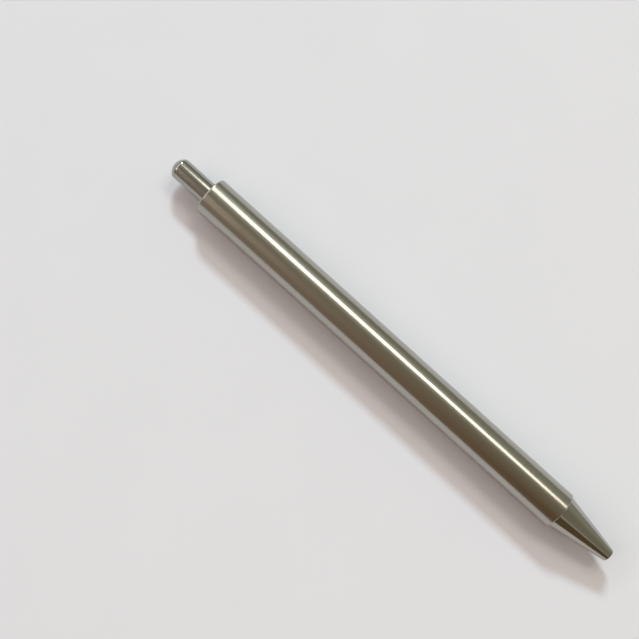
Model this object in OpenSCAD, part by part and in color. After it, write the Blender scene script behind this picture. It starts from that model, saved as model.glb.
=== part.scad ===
// Retractable ballpoint pen of polished steel, without a clip, in millimetres.
// It lies along X on its barrel, nose towards +X, with the origin under its middle.
// Each piece is drawn upright first: z is the distance from the nose's open end.

/* [Barrel] */
// Outside diameter of the barrel
barrel_d = 10; // [9.6:0.1:14]
// Length of the barrel tube
barrel_len = 114; // [95:0.5:140]
// Wall of the barrel tube
barrel_wall = 0.75; // [0.5:0.05:0.9]
// Chamfer of the barrel's rear rim
rear_chamfer = 0.5; // [0.1:0.05:0.5]
// Chamfer of the barrel's front rim
front_chamfer = 0.2; // [0.05:0.05:0.4]

/* [Nose] */
// Length of the tapered nose
nose_len = 15.8; // [13:0.1:22]
// Step from the barrel's surface in to the nose's base
nose_step = 0.4; // [0.1:0.05:0.8]
// Diameter of the nose's open end
nose_end_d = 3.2; // [3.1:0.1:4.5]
// Rounding of the nose's open end
nose_end_round = 0.3; // [0.1:0.05:0.3]
// Length of the threaded spigot behind the nose
spigot_len = 8.2; // [5:0.1:9]
// Wall of the spigot from its bore to the thread's crest
spigot_wall = 0.55; // [0.45:0.05:0.65]
// Pitch of the nose thread
thread_pitch = 0.75; // [0.5:0.05:1]
// Depth of the nose thread
thread_depth = 0.25; // [0.1:0.05:0.3]
// Length of the tip's guide in the nose's open end
guide_len = 3.5; // [2:0.1:5]
// Distance from the nose's open end to the spring's seat
spring_seat = 8; // [7:0.1:9]

/* [Button] */
// Diameter of the push button
button_d = 5.6; // [4.4:0.1:5.8]
// How far the button stands out of the barrel at rest
button_out = 11.6; // [10:0.1:16]
// How much the dome's radius exceeds the button's
dome_over = 0.4; // [0.1:0.1:3]
// Rounding between the dome and the button's side
dome_edge = 1; // [0.3:0.1:1.4]
// Travel of the button to its stop
press_travel = 8; // [6:0.1:9.6]
// Diameter of the spigot that holds the button in its plunger
button_spigot_d = 3.2; // [2.4:0.1:4]
// Length of that spigot
button_spigot_len = 4; // [2:0.1:5]

/* [Mechanism] */
// Travel that the latch holds
latch_travel = 5.3; // [4:0.1:5.6]
// Turn of the rotor while the button goes down, in degrees
press_turn = 50; // [46:1:54]
// Diameter of the cross pin
cross_pin_d = 1; // [0.8:0.1:1.1]
// Wall of the two cam rings
cam_wall = 0.55; // [0.4:0.05:0.6]
// Step from the button out to the plunger that keeps it in
button_shoulder = 0.4; // [0.2:0.05:0.5]
// Length of the bush in the barrel's rear end
end_bush_len = 7; // [4:0.1:12]
// Length of the thrust plunger
plunger_len = 6.7; // [6:0.1:9]
// Distance from the rotor's rear face to its cross pin
pin_behind = 3; // [2:0.1:4]
// Distance from the cross pin to the front of the rotor's body
pin_ahead = 2; // [1:0.1:3]
// Diameter of the rotor's stem
stem_d = 4; // [3:0.1:4.6]
// Solid length of the lower cam ring below its track
lower_ring_base = 4; // [2:0.1:6]
// Length of the lip that holds the lower cam ring
tube_lip = 0.8; // [0.4:0.1:2]

/* [Refill] */
// Diameter of the refill's tube
refill_d = 5.9; // [4.8:0.1:6.1]
// Wall of the refill's tube
refill_wall = 0.3; // [0.2:0.05:0.4]
// Diameter of the refill's neck inside the spring
neck_d = 3.4; // [3:0.1:3.5]
// Length of the refill's shoulder
shoulder_len = 2.1; // [1:0.1:4]
// Length that the neck and the plug reach into the tube
insert_len = 5; // [3:0.5:8]
// Length of the plug's flange
flange_len = 1.2; // [0.6:0.1:2]
// Diameter of the plug's air hole
vent_d = 1.2; // [0.6:0.1:2]
// Diameter of the writing tip
tip_d = 2.25; // [1.8:0.05:2.3]
// Length of the writing tip's blunt point
point_len = 1.02; // [0.8:0.02:2]
// Length of the writing tip's shank inside the neck
shank_len = 7; // [4:0.5:10]
// Diameter of the ink channel in the writing tip
channel_d = 0.7; // [0.4:0.1:0.8]
// Diameter of the ball
ball_d = 1; // [0.8:0.1:1.2]
// How far the ball lies inside the nose at rest
tip_recess = 1.1; // [0.5:0.1:2]
// Length of the empty stretch between the ink and the plug
ink_headroom = 8; // [2:1:30]

/* [Spring] */
// Diameter of the spring's wire
wire_d = 0.4; // [0.3:0.05:0.45]
// Number of turns in the spring
spring_turns = 10; // [7:1:11]
// Number of close turns at each end of the spring
end_turns = 1.5; // [1:0.5:2]
// Pitch of the close turns
end_pitch = 0.95; // [0.9:0.05:1.2]

/* [Fits] */
// Gap round pieces that are pressed or glued in
press_gap = 0.015; // [0.01:0.005:0.03]
// Gap between faces that meet end on and move
face_gap = 0.05; // [0.02:0.01:0.1]
// Gap round the sliding button, plunger and rotor
slide_gap = 0.1; // [0.05:0.01:0.12]
// Gap round the writing tip in its guide
tip_gap = 0.075; // [0.05:0.005:0.1]
// Gap round the refill's tube in the nose
refill_gap = 0.2; // [0.1:0.05:0.25]
// Gap round the refill's neck in the nose
neck_gap = 0.15; // [0.1:0.01:0.2]
// Gap between the refill's rear end and the mechanism
refill_rear_gap = 0.3; // [0.2:0.05:0.5]
// Gap between the cross pin and its track
pin_gap = 0.12; // [0.08:0.01:0.15]
// Gap between the nose's thread and its bush
thread_gap = 0.05; // [0.03:0.01:0.08]
// Gap on each side of the spring
spring_gap = 0.17; // [0.1:0.01:0.2]
// Gap round the ball in its socket
socket_gap = 0.02; // [0.01:0.01:0.03]

/* [Hidden] */
$fn = 96;

// Colours of the finishes
steel = "#b9b6ae";
dark_steel = "#8f8d88";
brass = "#c2a35a";
acetal = "#e4e2da";
spring_steel = "#a3a6aa";
blue_black = "#1d2440";

// Whole pen
barrel_r = barrel_d / 2;
bore_r = barrel_r - barrel_wall;
barrel_rear = nose_len + barrel_len;
total_len = barrel_rear + button_out;

// Rear end, from the button outwards and from the rim forwards
button_r = button_d / 2;
plunger_r = button_r + button_shoulder;
cam_bore_r = plunger_r + slide_gap;
cam_r = cam_bore_r + cam_wall;
bush_recess = 0.1;
bush_front = barrel_rear - bush_recess - end_bush_len;
plunger_rear = bush_front - face_gap;
plunger_front = plunger_rear - plunger_len;
rotor_rear = plunger_front - face_gap;
pin_u = rotor_rear - pin_behind;
rotor_front = pin_u - pin_ahead;
pin_half_len = cam_r - slide_gap;

// Track of the cross pin: pairs of a turn in degrees and a place along the pen
pin_room = cross_pin_d / 2 + pin_gap;
pin_turn = pin_room / cam_bore_r * 180 / PI;
lead = press_travel / press_turn;
flank_room = pin_room * sqrt(1 + pow(press_travel / (press_turn * PI / 180 * cam_bore_r), 2));
latch_turn = 90;
second_turn = 140;
latch_u = pin_u - latch_travel;
floor_u = pin_u - press_travel;
function flank(turn) = pin_u - lead * turn;
// The pin's seat is rounded by one point at a share of its room, the next at its side
seat_share = 0.7;
seat_top = pin_u + pin_room;
seat_mid = pin_u + seat_share * pin_room;
seat_side = pin_turn + 1;
flank_end = press_turn - 3;
tooth_turn = second_turn - 4;
tooth_u = floor_u + 1.7;
upper_edge = [
    [0, seat_top],
    [seat_share * pin_turn, seat_mid],
    [seat_side, flank(seat_side) + flank_room],
    [flank_end, flank(flank_end) + flank_room],
    [latch_turn, latch_u + pin_room],
    [latch_turn + pin_turn, latch_u + pin_room],
    [latch_turn + pin_turn + 0.5, latch_u + pin_gap],
    [tooth_turn, tooth_u],
    [180 - seat_side, pin_u],
    [180 - seat_share * pin_turn, seat_mid],
    [180, seat_top]
];
track_floor = floor_u - pin_room;
floor_start = (press_travel + pin_room - flank_room) / lead;
entry_turn = 4;
lower_edge = [
    [0, flank(0) - flank_room],
    [floor_start, track_floor],
    [press_turn + 7, track_floor],
    [latch_turn - 4, latch_u - pin_room - pin_gap],
    [second_turn - 6, track_floor],
    [second_turn + 12, track_floor],
    [180 - entry_turn, flank(-entry_turn) - flank_room],
    [180, flank(0) - flank_room]
];
edge_step = 5;
lower_ring_front = track_floor - lower_ring_base;
tube_front = lower_ring_front - press_gap - tube_lip;
tube_rear = bush_front - press_gap;

// Refill, from the ball backwards
refill_r = refill_d / 2;
refill_rear = tube_front - refill_rear_gap;
insert_r = refill_r - refill_wall - press_gap;
ball_r = ball_d / 2;
ball_u = tip_recess + ball_r;
lip_grip = 0.44;
lip_u = ball_u - lip_grip * ball_r;
socket_r = ball_r + socket_gap;
lip_wall = 0.12;
lip_r = ball_r + lip_wall;
tip_r = tip_d / 2;
neck_r = neck_d / 2;
neck_clear = 1.5;
neck_front = guide_len + press_travel + neck_clear;
shank_rear = neck_front + shank_len;
nose_counterbore = 0.9;
shoulder_clear = 0.3;
shoulder_front = nose_len + nose_counterbore + press_travel + shoulder_clear;
shoulder_rear = shoulder_front + shoulder_len;
insert_rear = shoulder_rear + insert_len;
shank_ledge = 0.125;
feed_r = tip_r - shank_ledge;
flange_front = refill_rear - flange_len;
plug_front = flange_front - insert_len;

// Nose and its thread
nose_base_r = barrel_r - nose_step;
nose_end_r = nose_end_d / 2;
nose_base = nose_len - face_gap;
spigot_rear = nose_len + spigot_len;
spigot_bore_r = refill_r + refill_gap;
thread_r = spigot_bore_r + spigot_wall;
thread_root_r = thread_r - thread_depth;
thread_count = floor((spigot_len - 2 * thread_pitch) / thread_pitch);
front_bush_over = 1;
front_bush_len = spigot_len + front_bush_over;
front_bush_inset = 0.2;

// Spring round the neck
wire_r = wire_d / 2;
coil_r = neck_r + spring_gap + wire_r;
spring_bore_r = coil_r + wire_r + spring_gap;
spring_front = spring_seat + face_gap + wire_r;
spring_rear = shoulder_front - face_gap - wire_r;
turn_rings = 12;
wire_sides = 6;

// Lays an upright piece along X on the ground
module along_pen() {
    translate([total_len / 2, 0, barrel_r])
        rotate([0, -90, 0])
            children();
}

module tube(outer_r, inner_r, front, rear) {
    rotate_extrude()
        translate([inner_r, front])
            square([outer_r - inner_r, rear - front]);
}

module rod(r, front, rear) {
    translate([0, 0, front])
        cylinder(r = r, h = rear - front);
}

// The tube's seam lies underneath, so two of its quarters carry the pen
module barrel_tube() {
    color(steel)
        along_pen()
            rotate([0, 0, 180])
                rotate_extrude()
                    polygon([
                        [bore_r, nose_len],
                        [barrel_r - front_chamfer, nose_len],
                        [barrel_r, nose_len + front_chamfer],
                        [barrel_r, barrel_rear - rear_chamfer],
                        [barrel_r - rear_chamfer, barrel_rear],
                        [bore_r, barrel_rear]
                    ]);
}

// Outline of the solid taper with a rounded end
module nose_outline() {
    slope = (nose_base_r - nose_end_r) / nose_len;
    stretch = sqrt(1 + slope * slope);
    round_r = nose_end_r + nose_end_round * (slope - stretch);
    tangent = [round_r + nose_end_round / stretch, nose_end_round * (1 - slope / stretch)];
    polygon([
        [0, 0],
        [round_r, 0],
        [round_r, nose_end_round],
        tangent,
        [nose_base_r, nose_base],
        [0, nose_base]
    ]);
    translate([round_r, nose_end_round])
        intersection() {
            circle(r = nose_end_round);
            polygon([
                [0, 0],
                [0, -nose_end_round],
                [nose_end_round, -nose_end_round],
                [nose_end_round, -slope * nose_end_round]
            ]);
        }
}

// Spigot with its thread as separate ridges
module spigot_outline() {
    ridge_foot = 0.4 * thread_pitch;
    ridge_crest = 0.1 * thread_pitch;
    over = 1;
    translate([0, nose_base - over])
        square([thread_root_r, spigot_rear - nose_base + over]);
    for (i = [1 : thread_count])
        translate([thread_root_r, nose_len + (i + 0.5) * thread_pitch])
            polygon([
                [-thread_depth, -ridge_foot],
                [0, -ridge_foot],
                [thread_depth, -ridge_crest],
                [thread_depth, ridge_crest],
                [0, ridge_foot],
                [-thread_depth, ridge_foot]
            ]);
}

module nose_cone() {
    over = 1;
    color(steel)
        along_pen()
            difference() {
                rotate_extrude() {
                    nose_outline();
                    spigot_outline();
                }
                rod(tip_r + tip_gap, -over, guide_len + over);
                rod(neck_r + neck_gap, guide_len, spring_seat + over);
                rod(spring_bore_r, spring_seat, nose_len + nose_counterbore + over);
                rod(spigot_bore_r, nose_len + nose_counterbore, spigot_rear + over);
            }
}

module front_thread_bush() {
    front = nose_len + front_bush_inset;
    color(brass)
        along_pen()
            tube(bore_r - press_gap, thread_r + thread_gap, front, front + front_bush_len);
}

// Domed rod: a small round joins the dome to the side
module push_button() {
    over = 1;
    dome_r = button_r + dome_over;
    dome_u = total_len - dome_r;
    edge_r = button_r - dome_edge;
    edge_u = dome_u + sqrt(pow(dome_r - dome_edge, 2) - pow(edge_r, 2));
    contact = [edge_r, edge_u - dome_u] * dome_r / (dome_r - dome_edge);
    color(steel)
        along_pen()
            union() {
                rotate_extrude() {
                    translate([0, plunger_rear])
                        square([button_r, edge_u - plunger_rear]);
                    intersection() {
                        translate([edge_r, edge_u])
                            circle(r = dome_edge);
                        translate([0, edge_u - over])
                            square(dome_r + over);
                    }
                    translate([0, dome_u])
                        intersection() {
                            circle(r = dome_r);
                            polygon([[0, 0], contact, [contact[0], dome_r], [0, dome_r]]);
                        }
                }
                rod(button_spigot_d / 2, plunger_rear - button_spigot_len, plunger_rear + over);
            }
}

module thrust_plunger() {
    color(acetal)
        along_pen()
            difference() {
                rod(plunger_r, plunger_front, plunger_rear - press_gap);
                rod(button_spigot_d / 2 + press_gap, plunger_rear - button_spigot_len - press_gap,
                    plunger_rear);
            }
}

module end_bush() {
    color(dark_steel)
        along_pen()
            tube(bore_r - press_gap, button_r + slide_gap, bush_front, barrel_rear - bush_recess);
}

module mechanism_tube() {
    color(brass)
        along_pen()
            union() {
                tube(bore_r - press_gap, cam_r + press_gap, tube_front, tube_rear);
                tube(bore_r - press_gap, cam_bore_r, tube_front, tube_front + tube_lip);
            }
}

// Everything between a level and a track's edge, all the way round the cam rings
module track_cut(edge, level) {
    inner_r = cam_bore_r - slide_gap;
    outer_r = cam_r + slide_gap;
    half_turn = [
        for (i = [0 : len(edge) - 2])
            let (span = edge[i + 1][0] - edge[i][0], steps = ceil(span / edge_step))
                for (k = [0 : steps - 1]) edge[i][0] + span * k / steps
    ];
    turns = [for (half = [0, 180], a = half_turn) half + a];
    points = [
        for (a = turns)
            let (u = lookup(a % 180, edge))
                each [
                    [inner_r * cos(a), inner_r * sin(a), level],
                    [outer_r * cos(a), outer_r * sin(a), level],
                    [outer_r * cos(a), outer_r * sin(a), u],
                    [inner_r * cos(a), inner_r * sin(a), u]
                ]
    ];
    count = len(turns);
    up = level < edge[0][1];
    faces = [
        for (i = [0 : count - 1], k = [0 : 3])
            let (
                a = 4 * i + k,
                b = 4 * i + (k + 1) % 4,
                c = 4 * ((i + 1) % count) + (k + 1) % 4,
                d = 4 * ((i + 1) % count) + k
            )
                each up ? [[a, b, c], [a, c, d]] : [[a, c, b], [a, d, c]]
    ];
    polyhedron(points, faces);
}

module upper_cam_ring() {
    over = 1;
    color(acetal)
        along_pen()
            difference() {
                tube(cam_r, cam_bore_r, track_floor, tube_rear);
                track_cut(upper_edge, track_floor - over);
            }
}

module lower_cam_ring() {
    over = 1;
    color(acetal)
        along_pen()
            difference() {
                tube(cam_r, cam_bore_r, lower_ring_front, seat_top);
                track_cut(lower_edge, seat_top + over);
            }
}

module cam_rotor() {
    over = 1;
    color(brass)
        along_pen()
            difference() {
                union() {
                    rod(plunger_r, rotor_front, rotor_rear);
                    rod(stem_d / 2, refill_rear + face_gap, rotor_rear);
                }
                translate([-plunger_r - over, 0, pin_u])
                    rotate([0, 90, 0])
                        cylinder(r = cross_pin_d / 2 + press_gap, h = 2 * (plunger_r + over));
            }
}

module cross_pin() {
    color(spring_steel)
        along_pen()
            translate([-pin_half_len, 0, pin_u])
                rotate([0, 90, 0])
                    cylinder(r = cross_pin_d / 2, h = 2 * pin_half_len);
}

// Place of the wire's middle along the pen after some turns
function spring_u(turn) = lookup(turn, [
    [0, spring_front],
    [end_turns, spring_front + end_turns * end_pitch],
    [spring_turns - end_turns, spring_rear - end_turns * end_pitch],
    [spring_turns, spring_rear]
]);

function wire_middle(i) = [
    coil_r * cos(360 * i / turn_rings),
    coil_r * sin(360 * i / turn_rings),
    spring_u(i / turn_rings)
];

function wire_point(i, k) = let (
    a = 360 * i / turn_rings,
    b = 360 * k / wire_sides,
    r = coil_r + wire_r * cos(b)
) [r * cos(a), r * sin(a), spring_u(i / turn_rings) + wire_r * sin(b)];

// Least gap of the wire to its own next turn
module echo_spring_gap() {
    last = spring_turns * turn_rings;
    gaps = [
        for (i = [0 : last - turn_rings / 2], j = [i + turn_rings / 2 : min(last, i + 2 * turn_rings)])
            norm(wire_middle(i) - wire_middle(j)) - wire_d
    ];
    echo(spring_least_gap = min(gaps));
}

module return_spring() {
    last = spring_turns * turn_rings;
    sides = [
        for (i = [0 : last - 1], k = [0 : wire_sides - 1])
            let (
                a = wire_sides * i + k,
                b = wire_sides * i + (k + 1) % wire_sides,
                c = b + wire_sides,
                d = a + wire_sides
            )
                each [[a, b, c], [a, c, d]]
    ];
    front_cap = [for (k = [1 : wire_sides - 2]) [0, k + 1, k]];
    rear_cap = [for (k = [1 : wire_sides - 2]) [0, k, k + 1] + wire_sides * last * [1, 1, 1]];
    echo_spring_gap();
    color(spring_steel)
        along_pen()
            polyhedron(
                [for (i = [0 : last], k = [0 : wire_sides - 1]) wire_point(i, k)],
                concat(sides, front_cap, rear_cap)
            );
}

module refill_tube() {
    color(steel)
        along_pen()
            tube(refill_r, refill_r - refill_wall, shoulder_rear + press_gap, flange_front - press_gap);
}

module refill_neck() {
    over = 1;
    color(dark_steel)
        along_pen()
            difference() {
                union() {
                    rod(neck_r, neck_front, shoulder_rear);
                    rod(refill_r, shoulder_front, shoulder_rear);
                    rod(insert_r, shoulder_front, insert_rear);
                }
                rod(tip_r + press_gap, neck_front - over, shank_rear);
                rod(feed_r, neck_front, insert_rear + over);
            }
}

module writing_tip() {
    over = 1;
    color(brass)
        along_pen()
            difference() {
                rotate_extrude()
                    polygon([
                        [0, lip_u],
                        [lip_r, lip_u],
                        [tip_r, lip_u + point_len],
                        [tip_r, shank_rear - press_gap],
                        [0, shank_rear - press_gap]
                    ]);
                translate([0, 0, ball_u])
                    sphere(r = socket_r);
                rod(channel_d / 2, ball_u, shank_rear + over);
            }
}

module ball() {
    color(spring_steel)
        along_pen()
            translate([0, 0, ball_u])
                sphere(r = ball_r);
}

module refill_plug() {
    over = 1;
    color(acetal)
        along_pen()
            difference() {
                union() {
                    rod(refill_r, flange_front, refill_rear);
                    rod(insert_r, plug_front, flange_front);
                }
                rod(vent_d / 2, plug_front - over, refill_rear + over);
            }
}

module ink() {
    color(blue_black)
        along_pen()
            union() {
                rod(feed_r - press_gap, shank_rear + press_gap, insert_rear + press_gap);
                rod(insert_r, insert_rear + press_gap, plug_front - ink_headroom);
            }
}

barrel_tube();
nose_cone();
front_thread_bush();
push_button();
end_bush();
mechanism_tube();
upper_cam_ring();
lower_cam_ring();
cam_rotor();
cross_pin();
thrust_plunger();
return_spring();
refill_tube();
refill_neck();
writing_tip();
ball();
refill_plug();
ink();
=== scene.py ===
import bpy
import math
from mathutils import Matrix, Vector


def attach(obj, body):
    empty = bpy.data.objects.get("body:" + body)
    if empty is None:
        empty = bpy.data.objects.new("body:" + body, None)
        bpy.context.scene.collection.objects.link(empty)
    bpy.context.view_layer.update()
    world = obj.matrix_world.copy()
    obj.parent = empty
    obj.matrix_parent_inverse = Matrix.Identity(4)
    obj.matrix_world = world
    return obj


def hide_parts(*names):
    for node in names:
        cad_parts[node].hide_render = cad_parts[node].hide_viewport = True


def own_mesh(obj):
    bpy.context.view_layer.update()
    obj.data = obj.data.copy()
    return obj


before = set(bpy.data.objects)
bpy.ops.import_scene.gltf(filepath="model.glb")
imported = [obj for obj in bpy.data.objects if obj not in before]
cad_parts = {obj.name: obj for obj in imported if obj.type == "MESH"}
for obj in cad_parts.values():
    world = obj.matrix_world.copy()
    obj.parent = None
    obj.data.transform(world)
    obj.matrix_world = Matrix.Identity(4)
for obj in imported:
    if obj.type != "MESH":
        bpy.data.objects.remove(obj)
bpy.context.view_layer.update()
print("frame loaded with", len(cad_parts), "nodes")

mm = 0.001
axisHeight = 5.0         # the pen's axis above the floor, mm
noseEnd = 70.7           # X of the nose's open end, mm: every profile counts back from it
mergeGap = 0.001 * mm    # vertices closer than this become one
mixShare, mixFirst, mixSecond, mixResult = 0, 6, 7, 2    # a Mix node's sockets when it mixes colours
noiseLow, noiseHigh = 0.3, 0.7                           # most of a noise texture's values lie between
quarterTurn = 0.25       # of the gloss: it is drawn out along the pen, across the lines


def hexToLinear(code):
    channels = [int(code[i:i + 2], 16) / 255 for i in (1, 3, 5)]
    linear = [c / 12.92 if c <= 0.04045 else ((c + 0.055) / 1.055) ** 2.4 for c in channels]
    return (*linear, 1.0)


def addNode(tree, kind, values=None, links=None, **settings):
    node = tree.nodes.new(kind)
    for key, value in settings.items():
        setattr(node, key, value)
    for key, value in (values or {}).items():
        node.inputs[key].default_value = value
    for key, socket in (links or {}).items():
        tree.links.new(socket, node.inputs[key])
    return node


def perMetre(sizeMm):
    return 1 / (sizeMm * mm)    # a noise scale whose grain has that size


# Turned, drawn or moulded finish: lines run round the axis X, smudges lie over them.
# A look holds a line's width, length, relief and share in the roughness, and a smudge's size
def makeFinish(name, look):
    finish = bpy.data.materials.new(name)
    finish.use_nodes = True
    tree = finish.node_tree
    shader = tree.nodes["Principled BSDF"]
    shader.inputs["Metallic"].default_value = look["metallic"]
    shader.inputs["Anisotropic"].default_value = look.get("anisotropy", 0)
    shader.inputs["Anisotropic Rotation"].default_value = quarterTurn
    coords = addNode(tree, "ShaderNodeTexCoord").outputs["Object"]
    along, around = perMetre(look["lineMm"]), perMetre(look["lineLengthMm"])
    stretched = addNode(tree, "ShaderNodeMapping", values={"Scale": (along, around, around)},
                        links={"Vector": coords})
    lines = addNode(tree, "ShaderNodeTexNoise", values={"Scale": 1, "Detail": 2},
                    links={"Vector": stretched.outputs["Vector"]}).outputs["Fac"]
    smudges = addNode(tree, "ShaderNodeTexNoise",
                      values={"Scale": perMetre(look["smudgeMm"]), "Detail": 3, "Roughness": 0.6},
                      links={"Vector": coords}).outputs["Fac"]
    colour = addNode(tree, "ShaderNodeMix", data_type="RGBA",
                     values={mixFirst: hexToLinear(look["light"]), mixSecond: hexToLinear(look["dark"])},
                     links={mixShare: smudges})
    tree.links.new(colour.outputs[mixResult], shader.inputs["Base Color"])
    smooth, rough = look["roughness"]
    lineShare = addNode(tree, "ShaderNodeMath", operation="MULTIPLY",
                        values={1: look["lineShare"]}, links={0: lines})
    bothShares = addNode(tree, "ShaderNodeMath", operation="MULTIPLY_ADD",
                         values={1: 1 - look["lineShare"]},
                         links={0: smudges, 2: lineShare.outputs[0]})
    roughness = addNode(tree, "ShaderNodeMapRange",
                        values={"From Min": noiseLow, "From Max": noiseHigh,
                                "To Min": smooth, "To Max": rough},
                        links={"Value": bothShares.outputs[0]})
    tree.links.new(roughness.outputs["Result"], shader.inputs["Roughness"])
    bump = addNode(tree, "ShaderNodeBump",
                   values={"Strength": 1, "Distance": look["lineDepthMm"] * mm},
                   links={"Height": lines})
    tree.links.new(bump.outputs["Normal"], shader.inputs["Normal"])
    if look.get("anisotropy"):
        tangent = addNode(tree, "ShaderNodeTangent", direction_type="RADIAL", axis="X")
        tree.links.new(tangent.outputs["Tangent"], shader.inputs["Tangent"])
    return finish


# Stainless steel tube, turned and polished: satin, its gloss drawn out along the pen by lines round the axis.
# The lines are far finer than a pixel, so they are drawn about five times too coarse
polishedSteelLook = {
    "light": "#b4b1aa", "dark": "#aba9a0", "metallic": 1.0, "roughness": (0.2, 0.245),
    "lineMm": 0.25, "lineLengthMm": 25, "lineShare": 0.35, "lineDepthMm": 0.0002,
    "smudgeMm": 7, "anisotropy": 0.3,
}
# The same steel, turned and buffed bright: close to a mirror, with a breath of handling marks
brightSteelLook = {
    "light": "#b6b3ac", "dark": "#aeaba4", "metallic": 1.0, "roughness": (0.095, 0.125),
    "lineMm": 0.25, "lineLengthMm": 12, "lineShare": 0.25, "lineDepthMm": 0.0001,
    "smudgeMm": 4, "anisotropy": 0.3,
}
# The button's steel, buffed close to a mirror: its base is a darker, more neutral grey than the rest of the
# same steel, painted shade that darkens the reflections on the button
buttonShadedSteelLook = {
    "light": "#adaca8", "dark": "#a5a4a0", "metallic": 1.0, "roughness": (0.12, 0.15),
    "lineMm": 0.25, "lineLengthMm": 12, "lineShare": 0.25, "lineDepthMm": 0.0001,
    "smudgeMm": 4, "anisotropy": 0.3,
}
# Turned mild steel, darkened: dull grey with visible tool lines
darkSteelLook = {
    "light": "#8b8882", "dark": "#7b7872", "metallic": 1.0, "roughness": (0.3, 0.42),
    "lineMm": 0.2, "lineLengthMm": 8, "lineShare": 0.7, "lineDepthMm": 0.002,
    "smudgeMm": 3, "anisotropy": 0.3,
}
# Free-cutting brass, turned: yellow with fine tool lines and darker tarnish
brassLook = {
    "light": "#d8b870", "dark": "#bf9c55", "metallic": 1.0, "roughness": (0.2, 0.34),
    "lineMm": 0.2, "lineLengthMm": 8, "lineShare": 0.6, "lineDepthMm": 0.002,
    "smudgeMm": 3, "anisotropy": 0.3,
}
# Nickel brass, drawn and turned: paler, a little greener than plain brass
tipBrassLook = {
    "light": "#c9bd98", "dark": "#b1a47d", "metallic": 1.0, "roughness": (0.18, 0.3),
    "lineMm": 0.08, "lineLengthMm": 4, "lineShare": 0.6, "lineDepthMm": 0.001,
    "smudgeMm": 1.5, "anisotropy": 0.3,
}
# Acetal, moulded: off-white, waxy, with a faint mould grain
acetalLook = {
    "light": "#eceae2", "dark": "#e2dfd5", "metallic": 0.0, "roughness": (0.38, 0.5),
    "lineMm": 0.3, "lineLengthMm": 0.3, "lineShare": 0.6, "lineDepthMm": 0.002,
    "smudgeMm": 4,
}
# Music wire, drawn: bright grey with lines along the wire that only roughen it at this scale
springSteelLook = {
    "light": "#b9bbbd", "dark": "#a3a5a8", "metallic": 1.0, "roughness": (0.22, 0.34),
    "lineMm": 0.1, "lineLengthMm": 0.4, "lineShare": 0.5, "lineDepthMm": 0.001,
    "smudgeMm": 2,
}
# Stainless refill tube, drawn and cleaned: satin
refillSteelLook = {
    "light": "#c2c1bd", "dark": "#b1b0ab", "metallic": 1.0, "roughness": (0.24, 0.36),
    "lineMm": 0.15, "lineLengthMm": 10, "lineShare": 0.6, "lineDepthMm": 0.001,
    "smudgeMm": 5, "anisotropy": 0.3,
}
# Tungsten carbide, ground and lapped: dark and glossy
carbideLook = {
    "light": "#77777a", "dark": "#6a6a6e", "metallic": 1.0, "roughness": (0.1, 0.2),
    "lineMm": 0.05, "lineLengthMm": 0.05, "lineShare": 0.5, "lineDepthMm": 0.0001,
    "smudgeMm": 0.3,
}
# Oil ink, blue-black: a thick glossy paste
inkLook = {
    "light": "#161c38", "dark": "#10142a", "metallic": 0.0, "roughness": (0.1, 0.2),
    "lineMm": 2, "lineLengthMm": 2, "lineShare": 0.5, "lineDepthMm": 0.01,
    "smudgeMm": 3,
}
polishedSteel = makeFinish("turnedPolishedSteel", polishedSteelLook)
brightSteel = makeFinish("buffedSteel", brightSteelLook)
buttonShadedSteel = makeFinish("mirrorBuffedSteel", buttonShadedSteelLook)
darkSteel = makeFinish("darkTurnedSteel", darkSteelLook)
brass = makeFinish("turnedBrass", brassLook)
tipBrass = makeFinish("nickelBrass", tipBrassLook)
acetal = makeFinish("mouldedAcetal", acetalLook)
springSteel = makeFinish("drawnSpringWire", springSteelLook)
refillSteel = makeFinish("drawnRefillSteel", refillSteelLook)
carbide = makeFinish("lappedCarbide", carbideLook)
oilInk = makeFinish("oilInk", inkLook)
print("finishes made:", len(bpy.data.materials))


def selectOnly(piece):
    bpy.ops.object.select_all(action="DESELECT")
    piece.select_set(True)
    bpy.context.view_layer.objects.active = piece


def applyModifier(piece, kind, **settings):
    bpy.ops.object.modifier_add(type=kind)
    modifier = piece.modifiers[-1]
    for key, value in settings.items():
        setattr(modifier, key, value)
    bpy.ops.object.modifier_apply(modifier=modifier.name)


# Merges doubled vertices, caps open ends where asked and turns the faces outwards
def closeMesh(capEnds=False):
    bpy.ops.object.mode_set(mode="EDIT")
    bpy.ops.mesh.select_all(action="SELECT")
    bpy.ops.mesh.remove_doubles(threshold=mergeGap)
    if capEnds:
        bpy.ops.mesh.fill_holes(sides=0)
        bpy.ops.mesh.select_all(action="SELECT")
    bpy.ops.mesh.normals_make_consistent(inside=False)
    bpy.ops.object.mode_set(mode="OBJECT")


# A profile's points are distance from the nose end and radius from the axis, in mm
def arc(centre, radius, fromDeg, toDeg, count):
    turns = [math.radians(fromDeg + (toDeg - fromDeg) * i / count) for i in range(count + 1)]
    return [(centre[0] + radius * math.sin(turn), centre[1] + radius * math.cos(turn)) for turn in turns]


# A plane is merged to one vertex, which is extruded along the profile
def drawProfile(name, profile, endX=noseEnd, axisZ=axisHeight):
    bpy.ops.object.select_all(action="DESELECT")
    start = ((endX - profile[0][0]) * mm, 0, (axisZ + profile[0][1]) * mm)
    bpy.ops.mesh.primitive_plane_add(size=mm, location=start)
    piece = bpy.context.object
    piece.name = name
    bpy.ops.object.transform_apply(location=True, rotation=True, scale=True)
    bpy.ops.object.mode_set(mode="EDIT")
    bpy.ops.mesh.select_all(action="SELECT")
    bpy.ops.mesh.merge(type="CENTER")
    for (distance, radius), (nextDistance, nextRadius) in zip(profile, profile[1:]):
        move = ((distance - nextDistance) * mm, 0, (nextRadius - radius) * mm)
        bpy.ops.mesh.extrude_region_move(TRANSFORM_OT_translate={"value": move})
    bpy.ops.object.mode_set(mode="OBJECT")
    return piece


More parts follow.
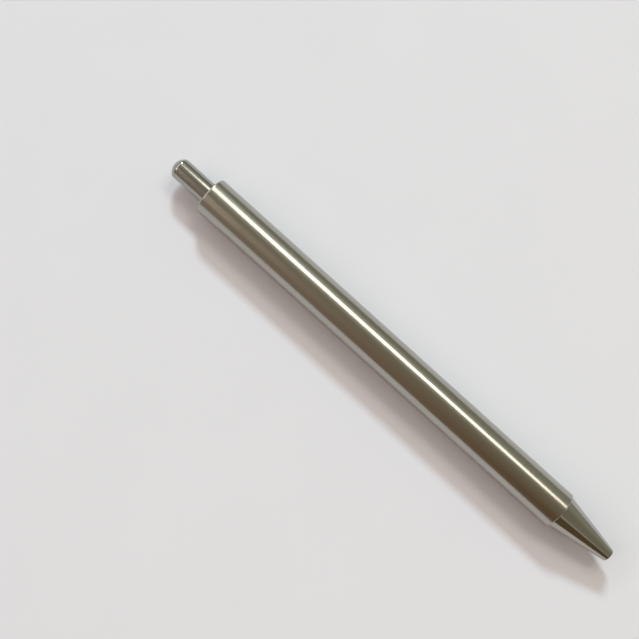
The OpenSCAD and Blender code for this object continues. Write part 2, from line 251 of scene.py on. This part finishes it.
# The profile is spun round the pen's axis
def spinProfile(name, profile, steps=128):
    piece = drawProfile(name, profile)
    bpy.ops.object.mode_set(mode="EDIT")
    bpy.ops.mesh.select_all(action="SELECT")
    bpy.ops.mesh.spin(steps=steps, angle=2 * math.pi, center=(0, 0, axisHeight * mm), axis=(1, 0, 0))
    bpy.ops.object.mode_set(mode="OBJECT")
    closeMesh()
    return piece


# Edges sharper than bevelDeg are broken, and faces that meet more flatly than smoothDeg shade as one
edges = {"segments": 3, "bevelDeg": 25, "smoothDeg": 40}


# Breaks the sharp edges, so that each catches a thin line of light
def breakEdges(piece, width):
    selectOnly(piece)
    if width:
        applyModifier(piece, "BEVEL", width=width * mm, segments=edges["segments"],
                      limit_method="ANGLE", angle_limit=math.radians(edges["bevelDeg"]))
    bpy.ops.object.shade_smooth_by_angle(angle=math.radians(edges["smoothDeg"]))
    applyModifier(piece, "WEIGHTED_NORMAL", keep_sharp=True)    # long faces shade true up to their edges


def fitPiece(piece, body, node, finish):
    piece.data.materials.clear()
    piece.data.materials.append(finish)
    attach(piece, body)
    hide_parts(node)


# Barrel: a plain tube with a rounded rear rim
barrelSize = {
    "front": 15.8, "rear": 129.8, "radius": 5.0, "bore": 4.25,
    "frontChamfer": 0.2, "rimRound": 0.5, "edge": 0.08,
}
rimMiddle = (barrelSize["rear"] - barrelSize["rimRound"], barrelSize["radius"] - barrelSize["rimRound"])
barrel = spinProfile("barrelTube", [
    (barrelSize["front"], barrelSize["bore"]),
    (barrelSize["front"], barrelSize["radius"] - barrelSize["frontChamfer"]),
    (barrelSize["front"] + barrelSize["frontChamfer"], barrelSize["radius"]),
    *arc(rimMiddle, barrelSize["rimRound"], 0, 90, count=8),
    (barrelSize["rear"], barrelSize["bore"]),
    (barrelSize["front"], barrelSize["bore"]),
])
breakEdges(barrel, barrelSize["edge"])
fitPiece(barrel, "barrel", "barrel_tube", polishedSteel)
print("barrel made")

# Nose: a taper with a round end, stepped bores and a threaded spigot
noseSize = {
    "base": 15.75, "baseRadius": 4.6, "endRadius": 1.6, "endRound": 0.38, "edge": 0.06,
    "bores": [(3.5, 1.2), (8.0, 1.85), (16.7, 2.44), (24.0, 3.15)],    # how deep each goes, and its radius
    "spigotEnd": 24.0, "rootRadius": 3.45, "crestRadius": 3.7,
    "threadStart": 16.6, "threadPitch": 0.75, "threadTurns": 8, "threadSteps": 64,
    "ridgeFoot": 0.3, "ridgeCrest": 0.08, "ridgeSunk": 0.05,
}
bores = noseSize["bores"]
slope = math.atan2(noseSize["baseRadius"] - noseSize["endRadius"], barrelSize["front"])
roundInset = noseSize["endRound"] * (1 / math.cos(slope) - math.tan(slope))    # to meet the taper
roundMiddle = (noseSize["endRound"], noseSize["endRadius"] - roundInset)
noseProfile = [(0, bores[0][1])]
noseProfile += arc(roundMiddle, noseSize["endRound"], -90, -math.degrees(slope), count=6)
noseProfile += [
    (noseSize["base"], noseSize["baseRadius"]), (noseSize["base"], noseSize["rootRadius"]),
    (noseSize["spigotEnd"], noseSize["rootRadius"]), (noseSize["spigotEnd"], bores[-1][1]),
]
for bore, widerBore in zip(bores[-2::-1], bores[:0:-1]):    # back through the bores to the end
    noseProfile += [(bore[0], widerBore[1]), bore]
noseProfile.append(noseProfile[0])
nose = spinProfile("noseCone", noseProfile)
breakEdges(nose, noseSize["edge"])
print("nose turned")

# Thread: a ridge wound round the spigot and united with the nose
foot, crest = noseSize["ridgeFoot"], noseSize["ridgeCrest"]
sunk, top = noseSize["rootRadius"] - noseSize["ridgeSunk"], noseSize["crestRadius"]
ridge = [(foot, sunk), (-foot, sunk), (-crest, top), (crest, top), (foot, sunk)]
thread = drawProfile("noseThread", ridge, endX=0, axisZ=0)    # the screw winds round the object's own origin
applyModifier(thread, "SCREW", axis="X", screw_offset=-noseSize["threadPitch"] * mm,
              iterations=noseSize["threadTurns"], steps=noseSize["threadSteps"],
              render_steps=noseSize["threadSteps"])
thread.location = ((noseEnd - noseSize["threadStart"]) * mm, 0, axisHeight * mm)
bpy.ops.object.transform_apply(location=True, rotation=True, scale=True)
closeMesh(capEnds=True)
selectOnly(nose)
applyModifier(nose, "BOOLEAN", operation="UNION", solver="EXACT", object=thread)
bpy.data.objects.remove(thread)
closeMesh()
breakEdges(nose, 0)
fitPiece(nose, "nose", "nose_cone", brightSteel)
print("nose threaded")

# Button: a rod with a domed end, and a spigot for its plunger
buttonSize = {
    "inner": 122.65, "top": 141.4, "radius": 2.8, "domeRadius": 3.2, "domeEdge": 1.0,
    "spigotRadius": 1.6, "spigotEnd": 118.65, "edge": 0.05,
}
edgeRadius = buttonSize["radius"] - buttonSize["domeEdge"]
domeMiddle = buttonSize["top"] - buttonSize["domeRadius"]
domeToEdge = buttonSize["domeRadius"] - buttonSize["domeEdge"]
edgeMiddle = domeMiddle + math.sqrt(domeToEdge ** 2 - edgeRadius ** 2)
meetDeg = math.degrees(math.atan2(edgeMiddle - domeMiddle, edgeRadius))    # where edge and dome meet
buttonProfile = [
    (buttonSize["spigotEnd"], 0), (buttonSize["spigotEnd"], buttonSize["spigotRadius"]),
    (buttonSize["inner"], buttonSize["spigotRadius"]), (buttonSize["inner"], buttonSize["radius"]),
]
buttonProfile += arc((edgeMiddle, edgeRadius), buttonSize["domeEdge"], 0, meetDeg, count=10)
buttonProfile += arc((domeMiddle, 0), buttonSize["domeRadius"], meetDeg, 90, count=20)[1:]
button = spinProfile("pushButton", buttonProfile)
breakEdges(button, buttonSize["edge"])
fitPiece(button, "button", "push_button", buttonShadedSteel)
print("button made")


def turnBush(name, size):
    bush = spinProfile(name, [
        (size["front"], size["bore"]), (size["front"], size["radius"]), (size["rear"], size["radius"]),
        (size["rear"], size["bore"]), (size["front"], size["bore"]),
    ])
    breakEdges(bush, size["edge"])
    return bush


# Rear bush: a turned ring just inside the rim
rearBushSize = {"front": 122.7, "rear": 129.7, "radius": 4.235, "bore": 2.9, "edge": 0.15}
rearBush = turnBush("endBush", rearBushSize)
fitPiece(rearBush, "barrel", "end_bush", darkSteel)

# Front bush: the brass ring that takes the nose's thread
frontBushSize = {"front": 16.0, "rear": 25.2, "radius": 4.235, "bore": 3.75, "edge": 0.1}
frontBush = turnBush("frontThreadBush", frontBushSize)
fitPiece(frontBush, "barrel", "front_thread_bush", brass)
print("bushes made")

# Refill's neck: a shouldered sleeve that the spring bears on
neckSize = {
    "front": 13.0, "radius": 1.7, "tipBore": 1.14, "tipSeat": 20.0, "feed": 1.0,
    "shoulder": 25.0, "shoulderRear": 27.1, "shoulderRadius": 2.95,
    "insertRadius": 2.635, "rear": 32.1, "edge": 0.06,
}
neck = spinProfile("refillNeck", [
    (neckSize["front"], neckSize["tipBore"]),
    (neckSize["front"], neckSize["radius"]),
    (neckSize["shoulder"], neckSize["radius"]),
    (neckSize["shoulder"], neckSize["shoulderRadius"]),
    (neckSize["shoulderRear"], neckSize["shoulderRadius"]),
    (neckSize["shoulderRear"], neckSize["insertRadius"]),
    (neckSize["rear"], neckSize["insertRadius"]),
    (neckSize["rear"], neckSize["feed"]),
    (neckSize["tipSeat"], neckSize["feed"]),
    (neckSize["tipSeat"], neckSize["tipBore"]),
    (neckSize["front"], neckSize["tipBore"]),
])
breakEdges(neck, neckSize["edge"])
fitPiece(neck, "refill", "refill_neck", refillSteel)

# Writing tip: a drawn rod with a blunt point, rolled in round its ball
tipSize = {
    "lip": 1.38, "lipRadius": 0.62, "shoulder": 2.4, "radius": 1.125, "rear": 19.985,
    "channel": 0.35, "ballMiddle": 1.6, "socket": 0.52, "edge": 0.04, "steps": 64,
}
socketEdge = math.degrees(math.acos((tipSize["ballMiddle"] - tipSize["lip"]) / tipSize["socket"]))
channelDeg = math.degrees(math.asin(tipSize["channel"] / tipSize["socket"]))
tipProfile = [
    (tipSize["rear"], tipSize["channel"]), (tipSize["rear"], tipSize["radius"]),
    (tipSize["shoulder"], tipSize["radius"]), (tipSize["lip"], tipSize["lipRadius"]),
]
tipProfile += arc((tipSize["ballMiddle"], 0), tipSize["socket"], socketEdge - 90, 90 - channelDeg, count=14)
tipProfile.append(tipProfile[0])
tip = spinProfile("writingTip", tipProfile, steps=tipSize["steps"])
breakEdges(tip, tipSize["edge"])
fitPiece(tip, "refill", "writing_tip", tipBrass)

# Ball: lapped round
ballSize = {"middle": 1.6, "radius": 0.5, "steps": 48}
ballProfile = arc((ballSize["middle"], 0), ballSize["radius"], -90, 90, count=24)
ball = spinProfile("tipBall", ballProfile, steps=ballSize["steps"])
breakEdges(ball, 0)
fitPiece(ball, "ball", "ball", carbide)
print("refill's front made")

# Spring: round wire, close turns at both ends, wound round the refill's neck
springSize = {
    "front": 8.25, "rear": 24.75, "turns": 10, "endTurns": 1.5, "endPitch": 0.95,
    "coilRadius": 2.07, "wireRadius": 0.2, "pointsPerTurn": 40, "wireFineness": 4, "smoothDeg": 50,
    "pressTravel": 8.0,
}


# How far from the nose end the wire is after so many turns
def wirePlace(turn):
    closed = springSize["endTurns"] * springSize["endPitch"]
    if turn < springSize["endTurns"]:
        return springSize["front"] + turn * springSize["endPitch"]
    if turn > springSize["turns"] - springSize["endTurns"]:
        return springSize["rear"] - (springSize["turns"] - turn) * springSize["endPitch"]
    share = (turn - springSize["endTurns"]) / (springSize["turns"] - 2 * springSize["endTurns"])
    return springSize["front"] + closed + share * (springSize["rear"] - springSize["front"] - 2 * closed)


path = bpy.data.curves.new("returnSpring", "CURVE")
path.dimensions = "3D"
path.bevel_depth = springSize["wireRadius"] * mm
path.bevel_resolution = springSize["wireFineness"]
path.use_fill_caps = True
wire = path.splines.new("POLY")
wire.points.add(springSize["turns"] * springSize["pointsPerTurn"])
for i, point in enumerate(wire.points):
    turn = i / springSize["pointsPerTurn"]
    angle = 2 * math.pi * turn
    point.co = ((noseEnd - wirePlace(turn)) * mm, springSize["coilRadius"] * math.sin(angle) * mm,
                (axisHeight + springSize["coilRadius"] * math.cos(angle)) * mm, 1)
spring = bpy.data.objects.new("returnSpring", path)
bpy.context.collection.objects.link(spring)
selectOnly(spring)
bpy.ops.object.convert(target="MESH")
spring = bpy.context.object
bpy.ops.object.shade_smooth_by_angle(angle=math.radians(springSize["smoothDeg"]))
fitPiece(spring, "refill", "return_spring", springSteel)
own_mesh(spring)
print("spring wound")

# The pieces that stay inside keep their CAD shape and get their finish
innerFinishes = {
    "mechanism_tube": brass, "upper_cam_ring": acetal, "lower_cam_ring": acetal, "cam_rotor": brass,
    "cross_pin": springSteel, "thrust_plunger": acetal, "refill_tube": refillSteel,
    "refill_plug": acetal, "ink": oilInk,
}
for name, finish in innerFinishes.items():
    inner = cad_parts[name]
    inner.data.materials.clear()
    inner.data.materials.append(finish)
print("inner pieces finished:", len(innerFinishes))

# Floor: smooth pale board with a faint paper grain
floorBoard = {
    "size": 6.0, "light": "#efeef4", "dark": "#ebeaf0", "grainMm": 30, "roughness": 0.75, "specular": 0.2,
}
bpy.ops.object.select_all(action="DESELECT")
bpy.ops.mesh.primitive_plane_add(size=floorBoard["size"], location=(0, 0, 0))
floor = bpy.context.object
floor.name = "floorBoard"
paper = bpy.data.materials.new("paleBoard")
paper.use_nodes = True
tree = paper.node_tree
shader = tree.nodes["Principled BSDF"]
shader.inputs["Roughness"].default_value = floorBoard["roughness"]
shader.inputs["Specular IOR Level"].default_value = floorBoard["specular"]
coords = addNode(tree, "ShaderNodeTexCoord").outputs["Object"]
grain = addNode(tree, "ShaderNodeTexNoise", values={"Scale": perMetre(floorBoard["grainMm"]), "Detail": 4},
                links={"Vector": coords})
tone = addNode(tree, "ShaderNodeMix", data_type="RGBA",
               values={mixFirst: hexToLinear(floorBoard["light"]),
                       mixSecond: hexToLinear(floorBoard["dark"])},
               links={mixShare: grain.outputs["Fac"]})
tree.links.new(tone.outputs[mixResult], shader.inputs["Base Color"])
floor.data.materials.append(paper)
print("floor laid")


# A lamp is a strip between two points, in metres, that faces the pen
def addLamp(name, look):
    start, end = Vector(look["from"]), Vector(look["to"])
    along = (end - start).normalized()
    middle = (start + end) / 2
    back = (middle - along * middle.dot(along)).normalized()
    data = bpy.data.lights.new(name, "AREA")
    data.shape = "RECTANGLE"
    data.size, data.size_y = (end - start).length, look["width"]
    data.energy = look["watts"]
    data.color = hexToLinear(look["colour"])[:3]
    lamp = bpy.data.objects.new(name, data)
    bpy.context.collection.objects.link(lamp)
    lamp.location = middle
    lamp.rotation_euler = Matrix((along, back.cross(along), back)).transposed().to_euler()


# A long strip on the far side draws the line along the barrel
stripLamp = {
    "from": (-0.32, 0.595, 0.98), "to": (0.66, 1.28, 2.12), "width": 0.40, "watts": 9.0, "colour": "#fff8ec",
}
# The main lamp is beyond the button, on the far side, and throws the shadow
mainLamp = {
    "from": (-4.42, 4.05, 3.84), "to": (-3.14, 4.63, 4.40), "width": 0.77, "watts": 260, "colour": "#e2f7ff",
}
# The fill is a long strip beyond the button, and lights its dome and the shadow
fillLamp = {
    "from": (-4.0, -4.25, 2.88), "to": (-4.0, 2.25, 2.88), "width": 1.0, "watts": 80, "colour": "#efe9f7",
}
# A small one on the near side gives the soft band along the barrel's rear
sideLamp = {
    "from": (-0.97, -1.12, 1.44), "to": (-0.69, -1.12, 1.44), "width": 1.2, "watts": 3.3, "colour": "#fff0e0",
}
addLamp("stripLamp", stripLamp)
addLamp("mainLamp", mainLamp)
addLamp("fillLamp", fillLamp)
addLamp("sideLamp", sideLamp)

# Room: dim and warm, greyer beyond the button and on the far side.
# A patch is round its way, a direction from the pen: it begins at the cosine "from" and is full at "to".
# Pale and glow are on the far side, beyond the nose and overhead. Dark is on the near side, beyond the nose,
# with a lit wall above it and a slit of light between them, which the nose shows as a thin streak
room = {
    "nearButton": "#9f9183", "nearNose": "#7c6246", "far": "#908e7a",
    "alongPen": (-0.35, 0.3),      # X of the direction, from the button's wall to the nose's
    "acrossPen": (-0.9, 0.6),      # Y of the direction, from the near walls to the far one
    "pale": {"colour": "#a4a295", "way": (0.532, 0.783, 0.321), "from": 0.87, "to": 0.99},
    "glow": {"colour": "#b6b4a4", "way": (-0.28, 0.55, 0.79), "from": 0.79, "to": 0.98},
    "dark": {"colour": "#68573d", "way": (0.57, -0.72, 0.40), "from": 0.895, "to": 0.92},
    "lit": {"colour": "#8e8879", "way": (0.60, -0.20, 0.775), "from": 0.945, "to": 0.965},
    "slit": {"colour": "#b3ad9e", "way": (0.588, -0.409, 0.698), "from": 0.994, "to": 0.998},
}
world = bpy.data.worlds.new("dimRoom")
bpy.context.scene.world = world
world.use_nodes = True
tree = world.node_tree
direction = addNode(tree, "ShaderNodeTexCoord").outputs["Generated"]
split = addNode(tree, "ShaderNodeSeparateXYZ", links={0: direction})
length = addNode(tree, "ShaderNodeMapRange", interpolation_type="SMOOTHSTEP",
                 values={"From Min": room["alongPen"][0], "From Max": room["alongPen"][1]},
                 links={"Value": split.outputs["X"]})
nearWall = addNode(tree, "ShaderNodeMix", data_type="RGBA",
                   values={mixFirst: hexToLinear(room["nearButton"]),
                           mixSecond: hexToLinear(room["nearNose"])},
                   links={mixShare: length.outputs["Result"]})
side = addNode(tree, "ShaderNodeMapRange", interpolation_type="SMOOTHSTEP",
               values={"From Min": room["acrossPen"][0], "From Max": room["acrossPen"][1]},
               links={"Value": split.outputs["Y"]})
walls = addNode(tree, "ShaderNodeMix", data_type="RGBA", values={mixSecond: hexToLinear(room["far"])},
                links={mixShare: side.outputs["Result"], mixFirst: nearWall.outputs[mixResult]})
for patchName in ("pale", "glow", "dark", "lit", "slit"):    # each lies over the ones before it
    patch = room[patchName]
    toward = addNode(tree, "ShaderNodeVectorMath", operation="DOT_PRODUCT",
                     values={1: patch["way"]}, links={0: direction})
    spread = addNode(tree, "ShaderNodeMapRange", interpolation_type="SMOOTHSTEP",
                     values={"From Min": patch["from"], "From Max": patch["to"]},
                     links={"Value": toward.outputs["Value"]})
    walls = addNode(tree, "ShaderNodeMix", data_type="RGBA", values={mixSecond: hexToLinear(patch["colour"])},
                    links={mixShare: spread.outputs["Result"], mixFirst: walls.outputs[mixResult]})
tree.links.new(walls.outputs[mixResult], tree.nodes["Background"].inputs["Color"])
print("lamps and room set")

# Camera: nearly overhead, a little on the near side, turned so that the pen runs down to the right
viewCamera = {
    "place": (-4.04, -50.28, 252.61), "turn": (9.944, -4.588, 42.057),    # in mm and degrees
    "lens": 58.53, "sensor": 36, "clipStart": 0.01,
}
camData = bpy.data.cameras.new("viewCamera")
camData.sensor_width = viewCamera["sensor"]
camData.lens = viewCamera["lens"]
camData.clip_start = viewCamera["clipStart"]
camera = bpy.data.objects.new("viewCamera", camData)
bpy.context.collection.objects.link(camera)
camera.location = [c * mm for c in viewCamera["place"]]
camera.rotation_euler = [math.radians(a) for a in viewCamera["turn"]]
bpy.context.scene.camera = camera
bpy.context.scene.view_settings.view_transform = "Standard"
print("camera set")
